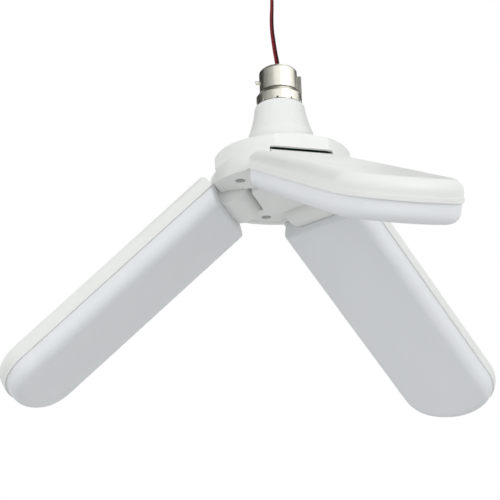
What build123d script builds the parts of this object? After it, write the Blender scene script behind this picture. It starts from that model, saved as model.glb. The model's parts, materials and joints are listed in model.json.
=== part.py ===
from build123d import *
import math
import os

# Three-blade folding lamp that hangs from its own supply lead.
# Millimetres, +Z up. The origin is where the bayonet pins' axis crosses the cap's axis,
# and the pins lie along X. Hub heights are measured up from the bottom cover's face.

# Bayonet cap
cap_radius = 11.0
cap_top = 7.0
cap_skin = 0.45
cap_mouth_radius = 9.6
cap_shoulder = 1.6
skirt_radius = 13.1
skirt_top = -7.2
skirt_cone = 3.0
skirt_rim = -15.8
stake_count = 10
stake_height = -15.1
stake_radius = 0.8
pin_radius = 1.1
pin_shank_radius = 0.85
pin_reach = 13.3
pin_root = 8.9
contact_spacing = 9.2
contact_radius = 2.3
insulator_top = 6.4
solder_offset = 3.3

# Supply lead and the grip that it hangs from
lead_diameter = 2.6
lead_route = [
    (0.0, 0.0, 6.4),
    (0.0, 0.0, 11.6),
    (-0.9, 0.2, 18.4),
    (-1.6, 0.0, 25.6),
    (-2.3, -0.2, 34.0),
    (-2.1, 0.1, 43.0),
    (-1.4, 0.2, 51.0),
    (-1.4, 0.2, 57.5),
]
grip_height = 14.0
grip_radius = 8.0
grip_nose_radius = 3.4

# Hub, with heights measured up from the bottom cover's centre face
plate_face = -72.4
cover_thickness = 2.2
arm_face = 2.1
hub_skin = 2.0
hub_radius = 38.4
hub_foot = (46.0, 1.7)
flare_middle = (41.3, 8.1)
flare_top = 15.5
wall_top = 22.8
wall_edge = (37.3, 24.1)
shoulder_inner = (22.5, 30.2)
shoulder_bend = (19.7, 33.3)
neck_base = (18.4, 38.4)
neck_waist = (15.9, 46.5)
neck_collar = (14.5, 53.6)
collar_bulge = (14.1, 55.5)
neck_top = (12.9, 56.6)
spigot_radius = 12.5
spigot_height = 61.7
spigot_neck_radius = 10.4
spigot_neck_height = 69.6
neck_bore = 8.4

# Hinges
blade_azimuths = [-71.7, 48.3, 168.3]
blade_droops = [26.4, 38.6, 38.2]
hinge_radius = 28.8
hinge_height = 7.4
hinge_pin_radius = 1.5
running_gap = 0.05
hinge_pin_length = 45.0
knuckle_radius = 11.9
knuckle_crown = 9.0
knuckle_half = 17.4
knuckle_skin = 1.8
knuckle_end = 11.0
hinge_tube_radius = 3.2
notch_half = 17.85
notch_top = 16.7
triangle_reach = 14.7
triangle_corner = 21.5
pocket_wall = 14.2
root_clearance = 6.3
recess_half = 31.2
flat_top = 32.0
bearing_near = 18.5
bearing_far = 23.0
bearing_half = 3.5
washer_thickness = 0.5
washer_radius = 2.9

# Hub fasteners and driver board
screw_circle = 34.8
screw_well_radius = 2.9
screw_seat = 6.2
screw_post_radius = 4.2
screw_post_height = 8.2
board_height = 24.0
board_thickness = 1.6
board_radius = 24.0
board_post_circle = 20.5

# Blades, in their own frame: X outward from the hinge, Y along the hinge, Z up
blade_width = 61.7
blade_tip = 166.8
blade_root = 6.65
tip_end_radius = 45.0
tip_corner_radius = 20.0
back_height = 8.4
parting_height = -1.8
face_height = -11.9
back_edge = 6.0
face_edge = 5.6
rim_step = 0.5
rim_height = 2.0
heel_high = 7.2
heel_low = 12.0
heel_edge = 1.5
shell_skin = 1.9
diffuser_skin = 1.6
diffuser_inset = 0.9
led_board_low = 0.5
led_board_thickness = 1.5
led_rows = 2
leds_per_row = 14
led_size = (3.5, 2.8, 0.7)
board_screw_places = [(32.0, 18.0), (32.0, -18.0), (138.0, 18.0), (138.0, -18.0)]


def turn(shape, angle):
    return Rot(0, 0, angle) * shape


def lift(height):
    """Row height of a height measured up from the bottom cover's face."""
    return plate_face + height


def box(x0, x1, y0, y1, z0, z1):
    size = (x1 - x0, y1 - y0, z1 - z0)
    centre = ((x0 + x1) / 2, (y0 + y1) / 2, (z0 + z1) / 2)
    return Pos(*centre) * Box(*size)


def rod(radius, z0, z1, x=0.0, y=0.0):
    return Pos(x, y, (z0 + z1) / 2) * Cylinder(radius, z1 - z0)


def hinge_rod(radius, y0, y1):
    """Round bar along a hinge axis, in a blade's frame."""
    return Pos(0, (y0 + y1) / 2, 0) * Rot(90, 0, 0) * Cylinder(radius, y1 - y0)


def spun(*lines):
    """Solid of revolution about Z of a closed profile given as edges in the XZ plane."""
    return revolve(Plane.XZ * make_face(Curve() + list(lines)), Axis.Z)


def polar(radius, angle):
    return radius * math.cos(math.radians(angle)), radius * math.sin(math.radians(angle))


# Cap

def cap_profile(skin):
    """Outer face of the thin metal cap, drawn in by a skin."""
    barrel = cap_radius - skin
    skirt = skirt_radius - skin
    cone_top = skirt_top - skin * 0.4
    return [
        (0, skirt_rim),
        (skirt, skirt_rim),
        (skirt, cone_top - skirt_cone),
        (barrel, cone_top),
        (barrel, cap_top - cap_shoulder),
        (cap_mouth_radius, cap_top - skin),
        (0, cap_top - skin),
    ]


def cap_body(skin):
    body = revolve(Plane.XZ * make_face(Polyline(*cap_profile(skin), close=True)), Axis.Z)
    ring = body.edges().filter_by(GeomType.CIRCLE)
    shoulder = ring.filter_by(lambda e: abs(e.center().Z - (cap_top - cap_shoulder)) < 0.01)
    return fillet(shoulder, cap_shoulder)


def make_cap_shell():
    shell = cap_body(0) - cap_body(cap_skin) - rod(cap_mouth_radius, 5, cap_top + 1)
    shell -= rod(skirt_radius - cap_skin, skirt_rim - 1, skirt_rim + 0.5)
    for index in range(stake_count):
        x, y = polar(skirt_radius + 0.35, -94 + index * 360 / stake_count)
        shell -= Pos(x, y, stake_height) * Sphere(stake_radius)
    for side in (0, 180):
        shell -= turn(Pos(11, 0, 0) * Rot(0, 90, 0) * Cylinder(pin_shank_radius, 8), side)
    return shell


def make_bayonet_pin(side):
    head = Pos((cap_radius + pin_reach) / 2, 0, 0) * Rot(0, 90, 0)
    head = head * Cylinder(pin_radius, pin_reach - cap_radius)
    head = chamfer(head.edges().group_by(Axis.X)[-1], 0.25)
    shank = Pos((pin_root + cap_radius) / 2, 0, 0) * Rot(0, 90, 0)
    shank = shank * Cylinder(pin_shank_radius, cap_radius - pin_root)
    return turn(head + shank, side)


def make_cap_insulator():
    body = rod(cap_radius - cap_skin - 0.15, 2.6, cap_top - cap_shoulder - 0.4)
    body += rod(cap_mouth_radius - 0.15, 2.6, insulator_top)
    for side in (-1, 1):
        y = side * contact_spacing / 2
        body -= rod(contact_radius + 0.1, 5.4, insulator_top + 1, 0, y)
        body -= rod(0.75, 0, cap_top, 0, y)
    for side in (0, 180):
        body -= turn(Pos(11, 0, 0) * Rot(0, 90, 0) * Cylinder(1.6, 8), side)
    return body


def make_contact(side):
    y = side * contact_spacing / 2
    plate = rod(contact_radius, 5.4, cap_top, 0, y)
    plate = chamfer(plate.edges().group_by(Axis.Z)[-1], 0.3)
    return plate - rod(0.75, 0, 6.2, 0, y)


def make_solder(side):
    bead = Pos(0, side * solder_offset, cap_top) * Sphere(1.1)
    return bead & box(-2, 2, -9, 9, cap_top, cap_top + 1.1)


# Supply lead

def corner_radii(route):
    radii = []
    for before, corner, after in zip(route, route[1:], route[2:]):
        run_in = Vector(*corner) - Vector(*before)
        run_out = Vector(*after) - Vector(*corner)
        half_turn = math.radians(run_in.get_angle(run_out)) / 2
        shorter = min(run_in.length, run_out.length)
        radii.append(0.45 * shorter / math.tan(half_turn))
    return radii


def make_supply_lead():
    radii = corner_radii(lead_route)
    path = FilletPolyline(*lead_route, radius=radii)
    start = Plane(origin=lead_route[0], z_dir=path % 0)
    tube = sweep(start * Circle(lead_diameter / 2), path=path)
    ideal = math.pi * lead_diameter ** 2 / 4 * path.length
    print("lead radii", [round(r) for r in radii])
    print("lead length", round(path.length, 1), "volume ratio", round(tube.volume / ideal, 4))
    return tube


def make_lead_grip():
    """Ceiling grip that clamps the lead's top end and hangs the lamp."""
    x, y, low = lead_route[-1]
    mid = low + grip_height * 0.45
    high = low + grip_height
    profile = Polyline((0, low), (grip_nose_radius, low), (grip_nose_radius + 1.2, mid),
                       (grip_radius, mid), (grip_radius, high), (0, high), close=True)
    body = revolve(Plane.XZ * make_face(profile), Axis.Z)
    rims = body.edges().filter_by(GeomType.CIRCLE).group_by(Axis.Z)
    body = fillet(rims[0], 1.0)
    return Pos(x, y, 0) * body


# Hub housing

def polar_drop(point, skin, share=0.7):
    """A profile point drawn in by a skin on a face that looks up and out."""
    return point[0] - skin * share, lift(point[1] - skin * share)


def hub_revolve(skin):
    """The hub's turned form, drawn in by a skin."""
    foot = (hub_foot[0] - skin, lift(hub_foot[1] if skin == 0 else -2))
    flare = (flare_middle[0] - skin, lift(flare_middle[1]))
    wall_low = (hub_radius - skin, lift(flare_top))
    wall_high = (hub_radius - skin, lift(wall_top - skin * 0.5))
    edge = (wall_edge[0] - skin * 0.9, lift(wall_edge[1] - skin * 0.7))
    shoulder = (shoulder_inner[0] - skin * 0.4, lift(shoulder_inner[1] - skin * 0.95))
    bend = polar_drop(shoulder_bend, skin)
    base = (neck_base[0] - skin, lift(neck_base[1] - skin * 0.3))
    waist = (neck_waist[0] - skin, lift(neck_waist[1]))
    collar = (neck_collar[0] - skin, lift(neck_collar[1]))
    bulge = (collar_bulge[0] - skin, lift(collar_bulge[1]))
    top = (neck_top[0] - skin, lift(neck_top[1]))
    rim = ((wall_high[0] + edge[0]) / 2 + 0.25, (wall_high[1] + edge[1]) / 2 + 0.25)
    return spun(
        Line((0, foot[1]), foot),
        ThreePointArc(foot, flare, wall_low),
        Line(wall_low, wall_high),
        ThreePointArc(wall_high, rim, edge),
        Line(edge, shoulder),
        ThreePointArc(shoulder, bend, base),
        ThreePointArc(base, waist, collar),
        ThreePointArc(collar, bulge, top),
        Line(top, (0, top[1])),
        Line((0, top[1]), (0, foot[1])),
    )


def blade_recess(skin):
    """Room for a blade's root as it swings: a flat face above the hinge, a hollow below it."""
    reach = root_clearance - skin
    axis_height = lift(hinge_height)
    low = (hinge_radius, axis_height - reach)
    middle = (hinge_radius + reach * math.sqrt(0.5), axis_height - reach * math.sqrt(0.5))
    side = (hinge_radius + reach, axis_height)
    crest = (hinge_radius + reach, lift(flat_top))
    section = [
        ThreePointArc(low, middle, side),
        Line(side, crest),
        Line(crest, (70, crest[1])),
        Line((70, crest[1]), (70, lift(-10))),
        Line((70, lift(-10)), (hinge_radius, lift(-10))),
        Line((hinge_radius, lift(-10)), low),
    ]
    return extrude(Plane.XZ * make_face(Curve() + section), recess_half + skin, both=True)


def hub_form(skin):
    form = hub_revolve(skin)
    for azimuth in blade_azimuths:
        form -= turn(blade_recess(skin), azimuth)
    return form


def hub_ribs():
    """Bearing cheeks over each hinge pin, screw bosses and driver board posts."""
    ribs = []
    for azimuth in blade_azimuths:
        for side in (-1, 1):
            near, far = sorted((side * bearing_near, side * bearing_far))
            cheek = box(hinge_radius - bearing_half, hinge_radius + bearing_half, near, far,
                        lift(hinge_height + 0.1), lift(36))
            ribs.append(turn(cheek, azimuth))
        x, y = polar(screw_circle, azimuth + 60)
        ribs.append(rod(3.6, lift(screw_post_height + 0.1), lift(32), x, y))
        x, y = polar(board_post_circle, azimuth + 60)
        ribs.append(rod(2.2, lift(board_height + board_thickness), lift(38), x, y))
    return ribs


def pin_channel():
    """Bore for a hinge pin, shared by the housing and the bottom cover."""
    bar = hinge_rod(hinge_pin_radius + running_gap, -bearing_far - 1, bearing_far + 1)
    return Pos(hinge_radius, 0, lift(hinge_height)) * bar


def make_upper_housing():
    cavity = hub_form(hub_skin)
    for rib in hub_ribs():
        cavity -= rib
    housing = hub_form(0) - cavity
    housing += rod(spigot_radius, lift(55.6), lift(spigot_height))
    housing += rod(spigot_neck_radius, lift(spigot_height), lift(spigot_neck_height))
    housing -= rod(neck_bore, lift(36), lift(spigot_neck_height + 1))
    for azimuth in blade_azimuths:
        notch = box(triangle_reach, 60, -notch_half, notch_half, lift(-2), lift(notch_top))
        crown = notch.edges().filter_by(Axis.X).group_by(Axis.Z)[-1]
        housing -= turn(fillet(crown, 0.6) + pin_channel(), azimuth)
        x, y = polar(screw_circle, azimuth + 60)
        housing -= rod(1.25, lift(screw_post_height), lift(20), x, y)
        x, y = polar(board_post_circle, azimuth + 60)
        housing -= rod(0.95, lift(board_height), lift(32), x, y)
    return housing


def make_bottom_cover():
    """Three screwed arms set back from a raised centre triangle, with the hinge pins' saddles."""
    room = hub_form(hub_skin + 0.2)
    cover = room & rod(60, lift(arm_face), lift(arm_face + cover_thickness))
    centre = rod(triangle_corner, lift(0), lift(arm_face + cover_thickness))
    for azimuth in blade_azimuths:
        centre -= turn(box(triangle_reach, 60, -60, 60, lift(-1), lift(30)), azimuth)
        x, y = polar(screw_circle, azimuth + 60)
        cover += rod(screw_post_radius, lift(arm_face), lift(screw_post_height), x, y)
    cover += centre
    for azimuth in blade_azimuths:
        pocket = box(triangle_reach, 60, -notch_half, notch_half, lift(-1), lift(30))
        corners = pocket.edges().filter_by(Axis.Z).group_by(Axis.X)[0]
        cover -= turn(fillet(corners, 0.8), azimuth)
    for azimuth in blade_azimuths:
        wall = box(pocket_wall - 1.6, pocket_wall, 4 - notch_half, notch_half - 4,
                   lift(arm_face), lift(19))
        cover += turn(wall, azimuth)
        for side in (-1, 1):
            near, far = sorted((side * bearing_near, side * bearing_far))
            post = box(hinge_radius - bearing_half, hinge_radius + bearing_half, near, far,
                       lift(arm_face), lift(hinge_height - 0.1))
            cover += turn(post, azimuth) & room
        x, y = polar(screw_circle, azimuth + 60)
        cover -= turn(pin_channel(), azimuth)
        cover -= rod(screw_well_radius, lift(-1), lift(screw_seat), x, y)
        cover -= rod(1.6, lift(0), lift(screw_post_height + 1), x, y)
    return cover


def screw(head_radius, head_height, shank_radius, length):
    """Pan-head screw with its seat at the origin, pointing up, with a cross recess."""
    head = Pos(0, 0, -head_height / 2) * Cylinder(head_radius, head_height)
    head = fillet(head.edges().group_by(Axis.Z)[0], head_height * 0.4)
    arm = head_radius * 1.2
    for angle in (0, 90):
        slot = box(-arm / 2, arm / 2, -0.3, 0.3, -head_height - 1, -head_height * 0.45)
        head -= turn(slot, angle)
    shank = Pos(0, 0, length / 2) * Cylinder(shank_radius, length)
    tip = chamfer(shank.edges().group_by(Axis.Z)[-1], shank_radius * 0.5)
    return head + tip


def make_housing_screws():
    one = screw(2.7, 2.0, 1.15, 12.0)
    places = [polar(screw_circle, azimuth + 60) for azimuth in blade_azimuths]
    return Compound([Pos(x, y, lift(screw_seat)) * one for x, y in places])


# Driver electronics

def make_driver_board():
    board = rod(board_radius, lift(board_height), lift(board_height + board_thickness))
    for azimuth in blade_azimuths:
        x, y = polar(board_post_circle, azimuth + 60)
        board -= rod(1.1, lift(board_height - 1), lift(board_height + 3), x, y)
    for side in (-1, 1):
        y = side * contact_spacing / 2
        board -= rod(0.7, lift(board_height - 1), lift(board_height + 3), 0, y)
    return board


def make_driver_screws():
    one = screw(2.0, 1.2, 0.85, 6.0)
    places = [polar(board_post_circle, azimuth + 60) for azimuth in blade_azimuths]
    return Compound([Pos(x, y, lift(board_height)) * one for x, y in places])


def make_smoothing_capacitor():
    low = lift(board_height + board_thickness)
    can = rod(4.0, low, low + 16.0, 6.6, 0)
    can = fillet(can.edges().group_by(Axis.Z)[-1], 0.6)
    return can - Pos(6.6, 0, low + 16) * Box(5, 0.4, 0.5) - Pos(6.6, 0, low + 16) * Box(0.4, 5, 0.5)


def make_choke():
    low = lift(board_height + board_thickness)
    core = rod(4.6, low, low + 1.2, -8.5, 0) + rod(4.6, low + 6.0, low + 7.2, -8.5, 0)
    return core + rod(3.6, low, low + 7.2, -8.5, 0)


def make_rectifier():
    low = lift(board_height + board_thickness)
    body = box(-2.4, 2.4, 9.2, 13.2, low + 0.2, low + 2.7)
    for x in (-1.3, 1.3):
        for y in (8.4, 13.2):
            body += box(x - 0.35, x + 0.35, y, y + 0.8, low, low + 0.8)
    return body


def make_cap_wires():
    wires = []
    low = lift(board_height + board_thickness) + 0.1
    for side in (-1, 1):
        wires.append(rod(0.6, low, 6.1, 0, side * contact_spacing / 2))
    return Compound(wires)


# Blades

def blade_face(inset, root_x):
    """Plan of a blade: straight sides, square root corners and a shallow three-arc tip."""
    half = blade_width / 2 - inset
    end = tip_end_radius - inset
    bend = tip_corner_radius - inset
    end_x = blade_tip - tip_end_radius
    bend_y = blade_width / 2 - tip_corner_radius
    bend_x = end_x + math.sqrt((end - bend) ** 2 - bend_y ** 2)
    join = math.atan2(bend_y, bend_x - end_x)
    middle = (join + math.pi / 2) / 2
    joint = (end_x + end * math.cos(join), end * math.sin(join))
    over = (bend_x + bend * math.cos(middle), bend_y + bend * math.sin(middle))
    upper = [
        Line((root_x, half), (bend_x, half)),
        ThreePointArc((bend_x, half), over, joint),
    ]
    lower = [mirror(edge, about=Plane.XZ) for edge in upper]
    nose = ThreePointArc(joint, (end_x + end, 0), (joint[0], -joint[1]))
    heel = Line((root_x, half), (root_x, -half))
    return make_face(Curve() + upper + lower + [nose, heel])


def slab(inset, root_x, low, high):
    return Pos(0, 0, low) * extrude(blade_face(inset, root_x), high - low)


def rounded_slab(inset, root_x, low, high, radius, upward):
    """Slab with one rim rounded all round."""
    body = slab(inset, root_x, low, high)
    return fillet(body.edges().group_by(Axis.Z)[-1 if upward else 0], radius)


def heel_cut(back):
    """Room behind the diffuser's sloping root end, set back along the blade."""
    corners = Polyline((-30, 6), (heel_high + back, 6), (heel_high + back, parting_height),
                       (heel_low + back, face_height), (heel_low + back, -20), (-30, -20),
                       close=True)
    return extrude(Plane.XZ * make_face(corners), 40, both=True)


def arc_point(radius, angle):
    return radius * math.cos(math.radians(angle)), radius * math.sin(math.radians(angle))


def knuckle_profile(skin, end):
    """Section of the knuckle about the hinge: a wide drum below, a smaller crown above."""
    low = knuckle_radius - skin
    high = knuckle_crown - skin
    inner = (-low, 0)
    foot = (end, -math.sqrt(low ** 2 - end ** 2))
    front = arc_point(high, 38)
    back = arc_point(high, 150)
    return [
        ThreePointArc(inner, arc_point(low, 235), foot),
        Line(foot, (end, front[1])),
        Line((end, front[1]), front),
        ThreePointArc(front, (0, high), back),
        Line(back, inner),
    ]


def knuckle_block(skin, end, half):
    return extrude(Plane.XZ * make_face(Curve() + knuckle_profile(skin, end)), half, both=True)


def make_knuckle():
    """Hollow drum that turns on the hinge pin, open at its inner end for the leads."""
    knuckle = knuckle_block(0, knuckle_end, knuckle_half)
    knuckle -= knuckle_block(knuckle_skin, knuckle_end - knuckle_skin, knuckle_half - 2)
    mouth = box(-knuckle_radius, -8.2, 2 - knuckle_half, knuckle_half - 2, -1.0, 5.0)
    knuckle -= mouth
    return knuckle + hinge_rod(hinge_tube_radius, -knuckle_half, knuckle_half)


def make_back_shell():
    """White tray with a raised rim at its open side, and the knuckle at its root."""
    shell = rounded_slab(rim_step, blade_root, parting_height, back_height, back_edge, True)
    shell += slab(0, blade_root, parting_height, parting_height + rim_height)
    hollow = rounded_slab(shell_skin, knuckle_end, parting_height - 1, back_height - shell_skin,
                          back_edge - shell_skin, True)
    shell -= hollow
    room = knuckle_block(0, knuckle_end, knuckle_half)
    shell -= room
    shell += make_knuckle()
    board_high = led_board_low + led_board_thickness
    for x, y in board_screw_places:
        shell += rod(2.6, board_high, back_height - 0.5, x, y)
        shell -= rod(1.05, 0, back_height - shell_skin, x, y)
    shell -= hinge_rod(hinge_pin_radius + running_gap, -30, 30)
    shell -= box(knuckle_end - 3, knuckle_end + 1, -2.5, 2.5, 3.2, 4.5)
    return shell


def make_diffuser():
    """Opal cover with rounded long edges, a sloping root end and a lip inside the shell."""
    lens = rounded_slab(diffuser_inset, -10, face_height, parting_height - 0.05, face_edge, False)
    lens -= heel_cut(0)
    heel = lens.edges().filter_by(Axis.Y).sort_by(Axis.Z)[0]
    lens = fillet(heel, heel_edge)
    inner = diffuser_inset + diffuser_skin
    hollow = rounded_slab(inner, -10, face_height + diffuser_skin, 2, face_edge - diffuser_skin, False)
    hollow -= heel_cut(diffuser_skin)
    lip_out = shell_skin + 0.2
    lip = slab(lip_out, knuckle_end + 0.3, parting_height - 1.5, 0.2)
    lip -= slab(lip_out + 1.1, knuckle_end + 1.4, -5, 2)
    return lens - hollow + lip - knuckle_block(-0.1, knuckle_end + 0.1, knuckle_half + 0.15)


def make_led_board():
    high = led_board_low + led_board_thickness
    board = slab(shell_skin + 0.9, knuckle_end + 2.0, led_board_low, high)
    for x, y in board_screw_places:
        board -= rod(1.3, 0, 3, x, y)
    return board


def make_leds():
    chips = []
    length, width, height = led_size
    first, last = 24.0, 152.0
    pitch = (last - first) / (leds_per_row - 1)
    for row in range(led_rows):
        y = (row - (led_rows - 1) / 2) * 22.0
        for index in range(leds_per_row):
            x = first + index * pitch
            chips.append(Pos(x, y, led_board_low - height / 2) * Box(length, width, height))
    return Compound(chips)


def make_board_screws():
    one = screw(2.4, 1.3, 0.95, 4.5)
    return Compound([Pos(x, y, led_board_low) * one for x, y in board_screw_places])


def make_hinge_pin():
    pin = hinge_rod(hinge_pin_radius, -hinge_pin_length / 2, hinge_pin_length / 2)
    return chamfer(pin.edges().filter_by(GeomType.CIRCLE), 0.3)


def make_friction_washers():
    near = (knuckle_half + bearing_near - washer_thickness) / 2
    rings = []
    for side in (-1, 1):
        y0, y1 = sorted((side * near, side * (near + washer_thickness)))
        rings.append(hinge_rod(washer_radius, y0, y1) - hinge_rod(hinge_pin_radius + 0.1, -30, 30))
    return Compound(rings)


def make_blade_leads():
    leads = []
    for side in (-1, 1):
        leads.append(Pos(9.0, side * 1.1, 3.83) * Rot(0, 90, 0) * Cylinder(0.55, 28))
    return Compound(leads)


def place_on_hub(shape, azimuth, droop):
    """Hang a blade piece on its hinge at a droop below level."""
    return Rot(0, 0, azimuth) * Pos(hinge_radius, 0, lift(hinge_height)) * Rot(0, droop, 0) * shape


def save(shape, node):
    export_step(shape, "parts/" + node + ".step")


def main():
    os.makedirs("parts", exist_ok=True)
    save(make_cap_shell(), "cap_shell")
    save(make_cap_insulator(), "cap_insulator")
    save(make_bayonet_pin(180), "bayonet_pin_left")
    save(make_bayonet_pin(0), "bayonet_pin_right")
    save(make_contact(-1), "contact_front")
    save(make_contact(1), "contact_rear")
    save(make_solder(-1), "solder_front")
    save(make_solder(1), "solder_rear")
    save(make_supply_lead(), "supply_lead")
    save(make_lead_grip(), "ceiling_grip")
    save(make_upper_housing(), "upper_housing")
    save(make_bottom_cover(), "bottom_cover")
    save(make_housing_screws(), "housing_screws")
    save(make_driver_board(), "driver_board")
    save(make_driver_screws(), "driver_board_screws")
    save(make_smoothing_capacitor(), "smoothing_capacitor")
    save(make_choke(), "choke")
    save(make_rectifier(), "bridge_rectifier")
    save(make_cap_wires(), "cap_wires")
    fixed = {"hinge_pin": make_hinge_pin(), "friction_washers": make_friction_washers()}
    moving = {
        "back_shell": make_back_shell(),
        "diffuser": make_diffuser(),
        "led_board": make_led_board(),
        "leds": make_leds(),
        "board_screws": make_board_screws(),
        "leads": make_blade_leads(),
    }
    for number, (azimuth, droop) in enumerate(zip(blade_azimuths, blade_droops), start=1):
        for name, shape in fixed.items():
            save(place_on_hub(shape, azimuth, 0), f"blade_{number}_{name}")
        for name, shape in moving.items():
            save(place_on_hub(shape, azimuth, droop), f"blade_{number}_{name}")


main()
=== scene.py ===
import bpy
import bmesh
import json
import math
from mathutils import Matrix, Vector
from mathutils.bvhtree import BVHTree


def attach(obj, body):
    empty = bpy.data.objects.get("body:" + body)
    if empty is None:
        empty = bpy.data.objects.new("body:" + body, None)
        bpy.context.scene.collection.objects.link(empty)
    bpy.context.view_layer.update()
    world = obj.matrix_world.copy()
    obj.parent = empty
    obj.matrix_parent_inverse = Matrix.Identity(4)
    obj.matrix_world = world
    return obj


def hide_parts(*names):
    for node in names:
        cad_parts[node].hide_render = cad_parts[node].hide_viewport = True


# Looks of a three-blade folding lamp with a bayonet cap. Metres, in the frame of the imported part.

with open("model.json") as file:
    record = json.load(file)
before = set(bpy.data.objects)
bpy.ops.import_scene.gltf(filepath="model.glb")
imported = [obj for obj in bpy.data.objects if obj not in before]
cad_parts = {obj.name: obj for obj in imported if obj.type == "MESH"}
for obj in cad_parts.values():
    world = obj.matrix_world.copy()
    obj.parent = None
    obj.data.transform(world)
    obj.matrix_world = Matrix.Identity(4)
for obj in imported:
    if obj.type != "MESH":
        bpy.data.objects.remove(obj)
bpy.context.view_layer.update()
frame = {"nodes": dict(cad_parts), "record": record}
nodes = frame["nodes"]
scene = bpy.context.scene

mm = 0.001
blade_azimuths = [-71.7, 48.3, 168.3]


def add_object(name, mesh, materials):
    """Object in the scene made from a bmesh, with its materials."""
    data = bpy.data.meshes.new(name)
    mesh.to_mesh(data)
    mesh.free()
    for material in materials:
        data.materials.append(material)
    made = bpy.data.objects.new(name, data)
    scene.collection.objects.link(made)
    return made


def add_hub_trim(name, mesh, material):
    """Piece that rides on the hub, with the given material."""
    made = add_object(name, mesh, [material])
    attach(made, "hub")


# Camera, from a pinhole fit to the photograph's outlines

camera_distance = 0.76316
camera_elevation = math.radians(20.918)
camera_roll = math.radians(-2.835)
aim_height = -0.0724
focal_pixels = 1369.28
centre_pixel = (284.15, 199.46)
picture_pixels = 500
sensor_width = 36.0
nearest_seen = 0.01


def make_camera():
    """Camera below the lamp, looking along +Y and up at the middle of the hub's underside."""
    forward = Vector((0, math.cos(camera_elevation), math.sin(camera_elevation)))
    level_up = Vector((0, -math.sin(camera_elevation), math.cos(camera_elevation)))
    level_right = Vector((1, 0, 0))
    right = math.cos(camera_roll) * level_right + math.sin(camera_roll) * level_up
    up = math.cos(camera_roll) * level_up - math.sin(camera_roll) * level_right
    data = bpy.data.cameras.new("camera")
    data.sensor_width = sensor_width
    data.lens = focal_pixels * sensor_width / picture_pixels
    data.shift_x = 0.5 - centre_pixel[0] / picture_pixels
    data.shift_y = centre_pixel[1] / picture_pixels - 0.5
    data.clip_start = nearest_seen
    camera = bpy.data.objects.new("camera", data)
    camera.matrix_world = Matrix((right, up, -forward)).transposed().to_4x4()
    camera.location = Vector((0, 0, aim_height)) - camera_distance * forward
    scene.collection.objects.link(camera)
    scene.camera = camera


# Materials: sizes of the grain, streaks and clouds, in metres

plastic_cloud = 0.035
plastic_gloss_patch = 0.012
plastic_ior = 1.49
glow_depth = 0.004
metal_streak = 0.0012
metal_dull_patch = 0.004
metal_relief = 0.00001
sleeve_cloud = 0.003
sleeve_gloss_patch = 0.0015
sleeve_grain = 0.0003
sleeve_relief = 0.00001
sleeve_shine = (0.45, 0.6)
sleeve_specular = 0.2


def new_material(name):
    material = bpy.data.materials.new(name)
    material.use_nodes = True
    tree = material.node_tree
    shader = tree.nodes["Principled BSDF"]
    return material, tree, shader


def add_node(tree, kind, **settings):
    node = tree.nodes.new(kind)
    for key, value in settings.items():
        setattr(node, key, value)
    return node


def object_point(tree, stretch=(1, 1, 1)):
    """Place on the object in metres, optionally stretched, as a texture vector."""
    place = add_node(tree, "ShaderNodeTexCoord")
    mapping = add_node(tree, "ShaderNodeMapping")
    mapping.inputs["Scale"].default_value = stretch
    tree.links.new(place.outputs["Object"], mapping.inputs["Vector"])
    return mapping.outputs["Vector"]


def noise(tree, vector, size, detail=2.0, roughness=0.5):
    """Noise whose blobs are about as large as size, in metres."""
    node = add_node(tree, "ShaderNodeTexNoise")
    node.inputs["Scale"].default_value = 1 / size
    node.inputs["Detail"].default_value = detail
    node.inputs["Roughness"].default_value = roughness
    tree.links.new(vector, node.inputs["Vector"])
    return node.outputs["Fac"]


def spread(tree, value, low, high, start=0.3, end=0.7):
    """A noise value spread over a range of plain numbers."""
    node = add_node(tree, "ShaderNodeMapRange")
    node.inputs["From Min"].default_value = start
    node.inputs["From Max"].default_value = end
    node.inputs["To Min"].default_value = low
    node.inputs["To Max"].default_value = high
    tree.links.new(value, node.inputs["Value"])
    return node.outputs["Result"]


def two_tone(tree, value, dark, light, start=0.3, end=0.7):
    """Colour between two tones, by a noise value."""
    ramp = add_node(tree, "ShaderNodeValToRGB")
    ramp.color_ramp.elements[0].position = start
    ramp.color_ramp.elements[0].color = (*dark, 1)
    ramp.color_ramp.elements[1].position = end
    ramp.color_ramp.elements[1].color = (*light, 1)
    tree.links.new(value, ramp.inputs["Fac"])
    return ramp.outputs["Color"]


def add_bump(tree, shader, height, strength, distance):
    """Relief on a shader's surface, its depth in metres."""
    bump = add_node(tree, "ShaderNodeBump")
    bump.inputs["Strength"].default_value = strength
    bump.inputs["Distance"].default_value = distance
    tree.links.new(height, bump.inputs["Height"])
    tree.links.new(bump.outputs["Normal"], shader.inputs["Normal"])


def moulded_plastic(name, light, dark, shine, grain=0.00035, depth=0.000012, glow=0.0):
    """Moulded plastic: faint cloudiness, uneven shine and a fine eroded grain."""
    material, tree, shader = new_material(name)
    point = object_point(tree)
    cloud = noise(tree, point, plastic_cloud, 3.0)
    tree.links.new(two_tone(tree, cloud, dark, light), shader.inputs["Base Color"])
    gloss = noise(tree, point, plastic_gloss_patch)
    tree.links.new(spread(tree, gloss, *shine), shader.inputs["Roughness"])
    add_bump(tree, shader, noise(tree, point, grain, 3.0, 0.6), 0.5, depth)
    shader.inputs["IOR"].default_value = plastic_ior
    if glow:
        shader.inputs["Subsurface Weight"].default_value = glow
        shader.inputs["Subsurface Radius"].default_value = (glow_depth,) * 3
    return material


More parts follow.
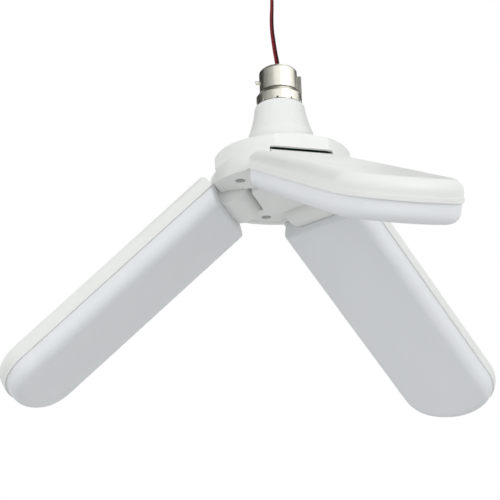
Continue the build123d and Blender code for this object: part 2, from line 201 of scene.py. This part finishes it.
def plated_metal(name, light, dark, shine, streak=(1, 1, 0.06)):
    """Plated sheet metal with drawing streaks along the cap and dull patches."""
    material, tree, shader = new_material(name)
    shader.inputs["Metallic"].default_value = 1.0
    streaks = noise(tree, object_point(tree, streak), metal_streak, 3.0, 0.6)
    tree.links.new(two_tone(tree, streaks, dark, light, 0.25, 0.75), shader.inputs["Base Color"])
    dull = noise(tree, object_point(tree), metal_dull_patch, 4.0, 0.65)
    tree.links.new(spread(tree, dull, *shine), shader.inputs["Roughness"])
    add_bump(tree, shader, streaks, 0.15, metal_relief)
    return material


def rubber_sleeve(name, light, dark):
    """Soft insulation with a dull, slightly uneven skin."""
    material, tree, shader = new_material(name)
    point = object_point(tree)
    cloud = noise(tree, point, sleeve_cloud, 3.0)
    tree.links.new(two_tone(tree, cloud, dark, light), shader.inputs["Base Color"])
    gloss = noise(tree, point, sleeve_gloss_patch)
    tree.links.new(spread(tree, gloss, *sleeve_shine), shader.inputs["Roughness"])
    add_bump(tree, shader, noise(tree, point, sleeve_grain, 2.0), 0.3, sleeve_relief)
    shader.inputs["Specular IOR Level"].default_value = sleeve_specular
    return material


plastics = {
    # slot: name, light and dark colour, roughness from and to
    "cap_glass": ("cap_glass", (0.02, 0.02, 0.022), (0.008, 0.008, 0.01), (0.08, 0.2)),
    "grip_plastic": ("grip_plastic", (0.86, 0.86, 0.84), (0.8, 0.8, 0.78), (0.22, 0.36)),
    "white_shell": ("white_shell", (0.872, 0.888, 0.87), (0.846, 0.862, 0.844), (0.34, 0.48)),
    "opal_diffuser": ("opal_diffuser", (0.855, 0.88, 0.896), (0.835, 0.862, 0.88), (0.4, 0.55),
                      0.00025, 0.000008, 0.15),
    "washer_black": ("washer_black", (0.05, 0.05, 0.05), (0.03, 0.03, 0.03), (0.4, 0.6)),
    "circuit_board": ("solder_mask", (0.02, 0.16, 0.06), (0.012, 0.11, 0.04), (0.2, 0.35)),
    "led_board_metal": ("white_solder_mask", (0.86, 0.86, 0.84), (0.8, 0.8, 0.78), (0.25, 0.4)),
    "led_package": ("led_gel", (0.9, 0.7, 0.16), (0.8, 0.58, 0.1), (0.15, 0.3)),
    "capacitor_sleeve": ("capacitor_sleeve", (0.03, 0.04, 0.1), (0.02, 0.025, 0.07), (0.15, 0.3)),
    "chip_black": ("chip_black", (0.03, 0.03, 0.03), (0.015, 0.015, 0.015), (0.3, 0.5)),
}

metals = {
    # slot: name, light and dark colour, roughness from and to, stretch of the streaks
    "nickel_cap": ("plated_cap", (0.90, 0.89, 0.80), (0.83, 0.815, 0.715), (0.3, 0.38), (1, 1, 0.3)),
    # painted shade: near-black metal for the cap's seam and rim lines and the stake hollows
    "painted_shade_metal": ("painted_shade_metal", (0.12, 0.115, 0.1), (0.05, 0.05, 0.045), (0.4, 0.6), (1, 1, 1)),
    "dull_plate": ("dull_plate", (0.3, 0.3, 0.28), (0.2, 0.2, 0.185), (0.35, 0.5), (1, 1, 0.4)),
    "contact_metal": ("tinned_contact", (0.75, 0.72, 0.6), (0.5, 0.45, 0.34), (0.3, 0.55), (1, 1, 1)),
    "solder": ("solder", (0.8, 0.8, 0.8), (0.5, 0.5, 0.5), (0.22, 0.5), (1, 1, 1)),
    "screw_steel": ("zinc_screw", (0.55, 0.55, 0.56), (0.3, 0.3, 0.3), (0.25, 0.5), (1, 1, 1)),
    # black_screw: near-black screws, painted shade for the deep shade of the screw wells
    "black_screw": ("black_screw", (0.06, 0.06, 0.06), (0.03, 0.03, 0.03), (0.35, 0.6), (1, 1, 1)),
    "hinge_steel": ("ground_steel", (0.66, 0.66, 0.66), (0.45, 0.45, 0.45), (0.18, 0.35), (1, 1, 1)),
    "choke_winding": ("enamelled_copper", (0.72, 0.32, 0.14), (0.45, 0.18, 0.07), (0.25, 0.4), (0.1, 0.1, 3)),
}

sleeves = {
    # slot: name, light and dark colour
    "lead_sleeve": ("red_sleeve", (0.23, 0.012, 0.018), (0.16, 0.008, 0.012)),
    "black_sleeve": ("black_sleeve", (0.06, 0.008, 0.012), (0.035, 0.005, 0.008)),
    "wire_sleeve": ("white_sleeve", (0.8, 0.8, 0.78), (0.7, 0.7, 0.68)),
}


def make_materials():
    """The materials by the record's slots, with a few of the scene's own."""
    made = {slot: moulded_plastic(*values) for slot, values in plastics.items()}
    made.update({slot: plated_metal(*values) for slot, values in metals.items()})
    made.update({slot: rubber_sleeve(*values) for slot, values in sleeves.items()})
    return made


def dress_nodes(materials):
    """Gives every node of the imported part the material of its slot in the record."""
    for part in frame["record"]["subparts"]:
        data = nodes[part["node"]].data
        data.materials.clear()
        data.materials.append(materials[part["material_slot"]])


# Supply lead: the route is the one in the part's source, in millimetres

lead_route = [
    (0.0, 0.0, 6.4),
    (0.0, 0.0, 11.6),
    (-0.9, 0.2, 18.4),
    (-1.6, 0.0, 25.6),
    (-2.3, -0.2, 34.0),
    (-2.1, 0.1, 43.0),
    (-1.4, 0.2, 51.0),
    (-1.4, 0.2, 57.5),
]
strand_radius = 0.00066
strand_offset = 0.00064
lead_twist = (math.radians(-8), math.radians(62))
strand_sides = 16
route_smoothness = 12


def smooth_route(route):
    """Points along the NURBS line that has the route's points as its control points."""
    line = bpy.data.curves.new("lead_line", "CURVE")
    line.dimensions = "3D"
    line.resolution_u = route_smoothness
    spline = line.splines.new("NURBS")
    spline.points.add(len(route) - 1)
    for point, place in zip(spline.points, route):
        point.co = (*(mm * value for value in place), 1)
    spline.order_u = 3
    spline.use_endpoint_u = True
    holder = bpy.data.objects.new("lead_line", line)
    mesh = bpy.data.meshes.new_from_object(holder)
    points = [vertex.co.copy() for vertex in mesh.vertices]
    bpy.data.objects.remove(holder)
    bpy.data.curves.remove(line)
    bpy.data.meshes.remove(mesh)
    return points


def add_strand(mesh, path, side, slot):
    """One round insulated strand beside the lead's middle line, with closed ends."""
    rings = []
    last = len(path) - 1
    for index, place in enumerate(path):
        ahead = path[min(index + 1, last)] - path[max(index - 1, 0)]
        ahead.normalize()
        angle = lead_twist[0] + (lead_twist[1] - lead_twist[0]) * index / last
        across = Vector((math.cos(angle), math.sin(angle), 0))
        across = (across - across.dot(ahead) * ahead).normalized()
        depth = ahead.cross(across)
        middle = place + side * strand_offset * across
        ring = []
        for step in range(strand_sides):
            turned = 2 * math.pi * step / strand_sides
            outward = math.cos(turned) * across + math.sin(turned) * depth
            ring.append(mesh.verts.new(middle + strand_radius * outward))
        rings.append(ring)
    for lower, upper in zip(rings, rings[1:]):
        for step in range(strand_sides):
            follow = (step + 1) % strand_sides
            face = mesh.faces.new((lower[step], lower[follow], upper[follow], upper[step]))
            face.material_index = slot
            face.smooth = True
    mesh.faces.new(list(reversed(rings[0]))).material_index = slot
    mesh.faces.new(rings[-1]).material_index = slot


def make_supply_lead(materials):
    """Twin lead of two twisted strands, from the cap up into the ceiling grip."""
    path = smooth_route(lead_route)
    mesh = bmesh.new()
    add_strand(mesh, path, -1, 0)
    add_strand(mesh, path, 1, 1)
    lead = add_object("twin_lead", mesh, [materials["lead_sleeve"], materials["black_sleeve"]])
    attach(lead, "hub")
    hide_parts("supply_lead")


# Small details of the cap, in millimetres as in the part's source

cap_radius = 11.0
skirt_top = -7.2
skirt_radius = 13.1
skirt_rim = -15.8
stake_count = 10
stake_start = -94
stake_height = -15.0
key_azimuth = -4
key_reach = 13.15
key_root = 10.7
key_thickness = 1.5
key_top = 2.4
key_foot = -8.8
key_edge = 0.3
# Dark beads of painted shade in the cap's seam and under its rim, and dark bodies of painted shade in the
# stake hollows
seam_bead = (0.4, 0.5)
seam_bead_out = 0.1
seam_bead_up = 0.05
rim_bead = (0.3, 0.36)
rim_bead_in = 0.05
rim_bead_up = 0.02
stake_radius = 0.62
stake_shape = (0.25, 1.0, 0.75)
stake_in = 0.32
ring_sides = 96
bead_sides = 8


def add_bead(mesh, radius, height, section):
    """Thin ring about the cap's axis, with an oval section."""
    across, tall = section
    rings = []
    for step in range(ring_sides):
        turned = 2 * math.pi * step / ring_sides
        ring = []
        for side in range(bead_sides):
            angle = 2 * math.pi * side / bead_sides
            reach = mm * (radius + across / 2 * math.cos(angle))
            up = mm * (height + tall / 2 * math.sin(angle))
            ring.append(mesh.verts.new((reach * math.cos(turned), reach * math.sin(turned), up)))
        rings.append(ring)
    for step in range(ring_sides):
        here, there = rings[step], rings[(step + 1) % ring_sides]
        for side in range(bead_sides):
            follow = (side + 1) % bead_sides
            face = mesh.faces.new((here[side], there[side], there[follow], here[follow]))
            face.smooth = True


def make_cap_lines(materials):
    """Dark rings of painted shade in the barrel's seam and under the crimped rim, and dark bodies of painted
    shade in the punched stakes' hollows.
    """
    mesh = bmesh.new()
    add_bead(mesh, cap_radius + seam_bead_out, skirt_top + seam_bead_up, seam_bead)
    add_bead(mesh, skirt_radius - rim_bead_in, skirt_rim + rim_bead_up, rim_bead)
    for index in range(stake_count):
        turned = Matrix.Rotation(math.radians(stake_start + index * 360 / stake_count), 4, "Z")
        place = Matrix.Translation((mm * (skirt_radius - stake_in), 0, mm * stake_height))
        shape = Matrix.Diagonal((*stake_shape, 1))
        made = bmesh.ops.create_icosphere(mesh, subdivisions=2, radius=mm * stake_radius,
                                          matrix=turned @ place @ shape)
        for vertex in made["verts"]:
            for face in vertex.link_faces:
                face.smooth = True
    add_hub_trim("cap_painted_shade_lines", mesh, materials["painted_shade_metal"])


def make_cap_key(materials):
    """Upright key beside the barrel that holds the right-hand pin."""
    mesh = bmesh.new()
    bmesh.ops.create_cube(mesh, size=1)
    size = Vector((key_reach - key_root, key_thickness, key_top - key_foot))
    bmesh.ops.scale(mesh, vec=mm * size, verts=mesh.verts)
    bmesh.ops.bevel(mesh, geom=mesh.edges[:], offset=mm * key_edge, segments=3, affect="EDGES", profile=0.5)
    middle = Vector((key_reach + key_root, 0, key_top + key_foot)) / 2
    bmesh.ops.translate(mesh, vec=mm * middle, verts=mesh.verts)
    turned = Matrix.Rotation(math.radians(key_azimuth), 3, "Z")
    bmesh.ops.rotate(mesh, cent=(0, 0, 0), matrix=turned, verts=mesh.verts)
    for face in mesh.faces:
        face.smooth = True
    add_hub_trim("cap_pin_key", mesh, materials["dull_plate"])


# Plugs in the three post holes that come out on the hub's shoulder, in millimetres

post_circle = 20.5
post_turn = 60
plug_radius = 1.15
plug_depth = 1.4
plug_sides = 24
look_down_from = -10


def skin_below(surface, x, y):
    """Point of a surface straight below a place, all in millimetres."""
    found = surface.ray_cast(Vector((mm * x, mm * y, mm * look_down_from)), Vector((0, 0, -1)))
    return found[0] / mm


def make_post_plugs(materials):
    """Closed plugs whose tops lie in the shoulder's surface."""
    housing = nodes["upper_housing"].data
    surface = BVHTree.FromPolygons([vertex.co for vertex in housing.vertices],
                                   [polygon.vertices[:] for polygon in housing.polygons])
    mesh = bmesh.new()
    for azimuth in blade_azimuths:
        angle = math.radians(azimuth + post_turn)
        x, y = post_circle * math.cos(angle), post_circle * math.sin(angle)
        rim = []
        for step in range(plug_sides):
            turned = 2 * math.pi * step / plug_sides
            across, along = plug_radius * math.cos(turned), plug_radius * math.sin(turned)
            rim.append(skin_below(surface, x + across, y + along))
        tops = [mesh.verts.new(mm * point) for point in rim]
        feet = [mesh.verts.new(mm * (point - Vector((0, 0, plug_depth)))) for point in rim]
        middle = mesh.verts.new(mm * sum(rim, Vector()) / plug_sides)
        for step in range(plug_sides):
            follow = (step + 1) % plug_sides
            mesh.faces.new((tops[step], tops[follow], middle))
            mesh.faces.new((feet[step], feet[follow], tops[follow], tops[step]))
        mesh.faces.new(list(reversed(feet)))
    add_hub_trim("shoulder_post_plugs", mesh, materials["white_shell"])


# Stage and light

floor_height = -0.46
floor_size = 30.0
floor_fade = (0.9, 3.0)
floor_seen = 0.35
floor_tones = ((0.73, 0.73, 0.73), (0.75, 0.75, 0.75))
floor_cloud = 0.4
white_seen = 1.0
room_light = 0.645


def background_rays(tree):
    """1 for rays that see the background directly, in a reflection or through glass."""
    rays = add_node(tree, "ShaderNodeLightPath")
    total = rays.outputs["Is Camera Ray"]
    for name in ("Is Glossy Ray", "Is Transmission Ray"):
        larger = add_node(tree, "ShaderNodeMath", operation="MAXIMUM")
        tree.links.new(total, larger.inputs[0])
        tree.links.new(rays.outputs[name], larger.inputs[1])
        total = larger.outputs[0]
    return total


def make_world():
    """White room that lights the object less strongly than it is seen."""
    world = bpy.data.worlds.new("studio")
    world.use_nodes = True
    scene.world = world
    tree = world.node_tree
    tree.nodes.clear()
    output = add_node(tree, "ShaderNodeOutputWorld")
    mix = add_node(tree, "ShaderNodeMixShader")
    tree.links.new(background_rays(tree), mix.inputs["Fac"])
    for socket, strength in ((1, room_light), (2, white_seen)):
        white = add_node(tree, "ShaderNodeBackground")
        white.inputs["Color"].default_value = (1, 1, 1, 1)
        white.inputs["Strength"].default_value = strength
        tree.links.new(white.outputs[0], mix.inputs[socket])
    tree.links.new(mix.outputs[0], output.inputs["Surface"])


def floor_fading(tree, point):
    """0 near the object and 1 far from it, for rays that see the floor directly."""
    length = add_node(tree, "ShaderNodeVectorMath", operation="LENGTH")
    tree.links.new(point, length.inputs[0])
    far = spread(tree, length.outputs["Value"], floor_seen, 1.0, *floor_fade)
    seen = add_node(tree, "ShaderNodeMath", operation="MULTIPLY")
    tree.links.new(far, seen.inputs[0])
    tree.links.new(background_rays(tree), seen.inputs[1])
    return seen.outputs[0]


def make_floor():
    """Pale floor that keeps the object's shadow, fades into the white background and is clear from below."""
    mesh = bmesh.new()
    bmesh.ops.create_grid(mesh, x_segments=1, y_segments=1, size=floor_size / 2)
    material, tree, shader = new_material("pale_floor")
    tree.nodes.remove(shader)
    point = object_point(tree)
    diffuse = add_node(tree, "ShaderNodeBsdfDiffuse")
    cloud = noise(tree, point, floor_cloud, 3.0)
    tree.links.new(two_tone(tree, cloud, *floor_tones), diffuse.inputs["Color"])
    white = add_node(tree, "ShaderNodeEmission")
    white.inputs["Strength"].default_value = white_seen
    mix = add_node(tree, "ShaderNodeMixShader")
    tree.links.new(floor_fading(tree, point), mix.inputs["Fac"])
    tree.links.new(diffuse.outputs["BSDF"], mix.inputs[1])
    tree.links.new(white.outputs["Emission"], mix.inputs[2])
    side = add_node(tree, "ShaderNodeNewGeometry")
    clear = add_node(tree, "ShaderNodeBsdfTransparent")
    one_sided = add_node(tree, "ShaderNodeMixShader")
    tree.links.new(side.outputs["Backfacing"], one_sided.inputs["Fac"])
    tree.links.new(mix.outputs["Shader"], one_sided.inputs[1])
    tree.links.new(clear.outputs["BSDF"], one_sided.inputs[2])
    tree.links.new(one_sided.outputs["Shader"], tree.nodes["Material Output"].inputs["Surface"])
    floor = add_object("studio_floor", mesh, [material])
    floor.location.z = floor_height


lamp_aim = (0, 0, -0.06)
lamp_side = 1.0
lamps = [
    # name, place, power in watts, seen in reflections
    ("left_light", (-1.0, -1.3, 0.4), 6.6, False),
    ("right_light", (1.15, -1.15, 0.4), 7.8, True),
]


def make_lights():
    """Two large soft lamps in front of the object, left and right."""
    for name, place, power, mirrored in lamps:
        data = bpy.data.lights.new(name, "AREA")
        data.shape = "RECTANGLE"
        data.size = data.size_y = lamp_side
        data.energy = power
        light = bpy.data.objects.new(name, data)
        light.location = place
        light.rotation_euler = (Vector(lamp_aim) - Vector(place)).to_track_quat("-Z", "Y").to_euler()
        light.visible_camera = False
        light.visible_glossy = mirrored
        scene.collection.objects.link(light)


# Small cards round the cap that only reflections see

card_distance = 0.15
card_height = 0.24
card_middle = 0.13
card_cloud = 0.05
card_tone_spread = 0.1
cards = [
    # name, turn from the front in degrees, width, tone
    ("left_card", -120, 0.195, 0.02),
    ("left_side_card", -72, 0.068, 0.22),
    ("left_front_card", -42, 0.09, 0.45),
    ("right_card", 130, 0.12, 0.03),
]
top_card_place = (-0.046, 0.0, 0.12)
top_card_size = (0.1, 0.12)
top_card_tone = 0.04


def add_card(name, place, turned, size, tone):
    """Glowing card that neither the camera nor diffuse light sees."""
    mesh = bmesh.new()
    bmesh.ops.create_grid(mesh, x_segments=1, y_segments=1, size=0.5)
    bmesh.ops.scale(mesh, vec=(*size, 1), verts=mesh.verts)
    material, tree, shader = new_material(name)
    tree.nodes.remove(shader)
    glow = add_node(tree, "ShaderNodeEmission")
    cloud = noise(tree, object_point(tree), card_cloud, 2.0)
    dark, light = ((tone * (1 + side * card_tone_spread),) * 3 for side in (-1, 1))
    tree.links.new(two_tone(tree, cloud, dark, light), glow.inputs["Color"])
    tree.links.new(glow.outputs["Emission"], tree.nodes["Material Output"].inputs["Surface"])
    card = add_object(name, mesh, [material])
    card.location = place
    card.rotation_euler = turned
    card.visible_camera = False
    card.visible_diffuse = False
    card.visible_transmission = False
    card.visible_shadow = False


def make_cards():
    """Dark and grey cards that give the cap's metal its bands."""
    for name, turned, width, tone in cards:
        angle = math.radians(turned - 90)
        place = (card_distance * math.cos(angle), card_distance * math.sin(angle), card_middle)
        facing = (math.radians(90), 0, math.radians(turned))
        add_card(name, place, facing, (width, card_height), tone)
    add_card("top_card", top_card_place, (0, 0, 0), top_card_size, top_card_tone)


scene.view_settings.view_transform = "Standard"
make_camera()
materials = make_materials()
make_supply_lead(materials)
dress_nodes(materials)
make_cap_lines(materials)
make_cap_key(materials)
make_post_plugs(materials)
make_world()
make_floor()
make_lights()
make_cards()
